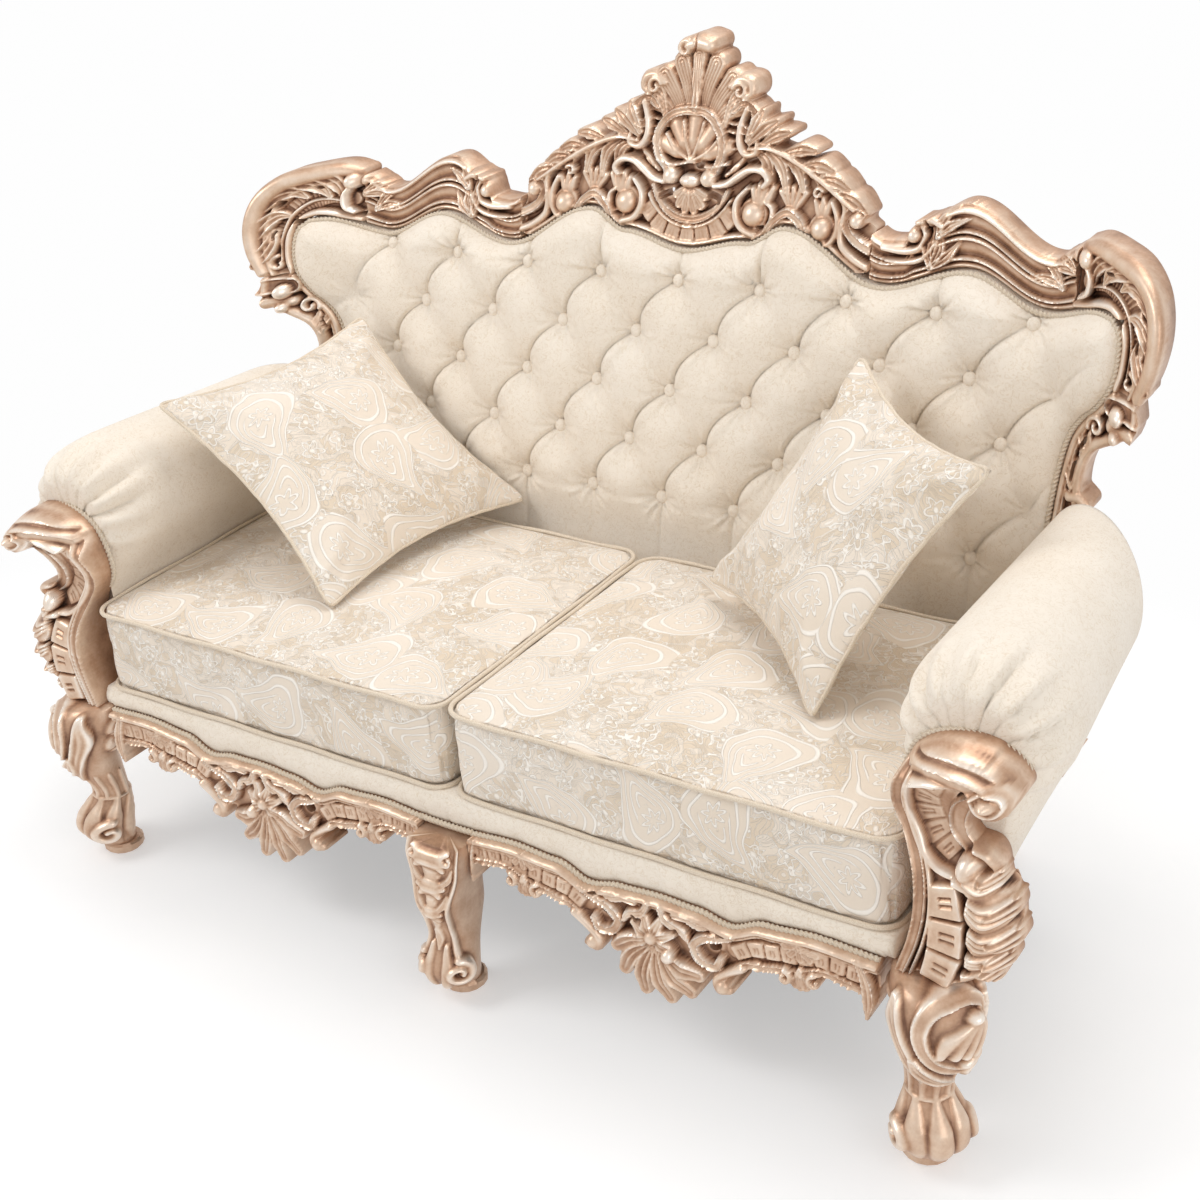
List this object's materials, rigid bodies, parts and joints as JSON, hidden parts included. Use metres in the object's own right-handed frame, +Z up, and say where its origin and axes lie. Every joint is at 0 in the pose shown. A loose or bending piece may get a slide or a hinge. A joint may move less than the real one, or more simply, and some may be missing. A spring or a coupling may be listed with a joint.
{
  "type": "two-seater sofa",
  "caption": "Carved and gilded rococo sofa with a pierced crest, deep-buttoned back, rolled arms, cabriole legs, slide-out seat cushions and lift-off throw pillows.",
  "frame": {"origin": "on the floor, under the centre of the whole sofa's bounding box", "axes": "+X towards the right arm as seen from the front, +Y towards the back, +Z up"},
  "size_m": [1.7436, 0.9314, 1.25],
  "materials": {
    "gilt_wood": "rose-gold leaf over carved wood, satin metallic, dark patina in the recesses",
    "inner_wood": "sawn, unfinished",
    "plain_fabric": "cream flat-woven upholstery over padding",
    "damask": "tone-on-tone cream jacquard over padding",
    "webbing": "woven jute strap",
    "dust_cloth": "black spun cloth"
  },
  "bodies": {
    "sofa_frame": {"apron_left": "gilt_wood", "apron_right": "gilt_wood", "arm_board_left": "inner_wood", "arm_board_right": "inner_wood", "arm_pad_left": "plain_fabric", "arm_pad_right": "plain_fabric", "arm_post_left": "gilt_wood", "arm_post_right": "gilt_wood", "back_pad": "plain_fabric", "back_post_left": "inner_wood", "back_post_right": "inner_wood", "back_rail_lower": "inner_wood", "back_rail_upper": "inner_wood", "corner_block_front_left": "inner_wood", "corner_block_front_right": "inner_wood", "corner_block_rear_left": "inner_wood", "corner_block_rear_right": "inner_wood", "crest_cartouche": "gilt_wood", "cross_rail": "inner_wood", "dust_cover": "dust_cloth", "ear_scroll_left": "gilt_wood", "ear_scroll_right": "gilt_wood", "foot_pad_left": "gilt_wood", "foot_pad_middle": "gilt_wood", "foot_pad_right": "gilt_wood", "front_leg_left": "gilt_wood", "front_leg_right": "gilt_wood", "middle_leg": "gilt_wood", "outer_back_cover": "plain_fabric", "rear_leg_left": "gilt_wood", "rear_leg_right": "gilt_wood", "seat_deck": "plain_fabric", "seat_rail_back": "inner_wood", "seat_rail_front": "inner_wood", "seat_rail_left": "gilt_wood", "seat_rail_right": "gilt_wood", "seat_strap_1": "webbing", "seat_strap_2": "webbing", "seat_strap_3": "webbing", "seat_strap_4": "webbing", "seat_strap_5": "webbing", "stile_left": "gilt_wood", "stile_right": "gilt_wood", "top_rail_left": "gilt_wood", "top_rail_right": "gilt_wood"},
    "cushion_left": {"seat_cushion_left": "damask"},
    "cushion_right": {"seat_cushion_right": "damask"},
    "throw_pillow_left": {"pillow_left": "damask"},
    "throw_pillow_right": {"pillow_right": "damask"}
  },
  "joints": [
    {"name": "cushion_left_slide", "type": "slide", "parent": "sofa_frame", "child": "cushion_left", "axis": [0, -1, 0], "range_m": [0, 0.6]},
    {"name": "cushion_right_slide", "type": "slide", "parent": "sofa_frame", "child": "cushion_right", "axis": [0, -1, 0], "range_m": [0, 0.6]},
    {"name": "pillow_left_lift", "type": "slide", "parent": "cushion_left", "child": "throw_pillow_left", "axis": [0, -0.6, 0.8], "range_m": [0, 0.45]},
    {"name": "pillow_right_lift", "type": "slide", "parent": "cushion_right", "child": "throw_pillow_right", "axis": [0, -0.6, 0.8], "range_m": [0, 0.45]}
  ]
}
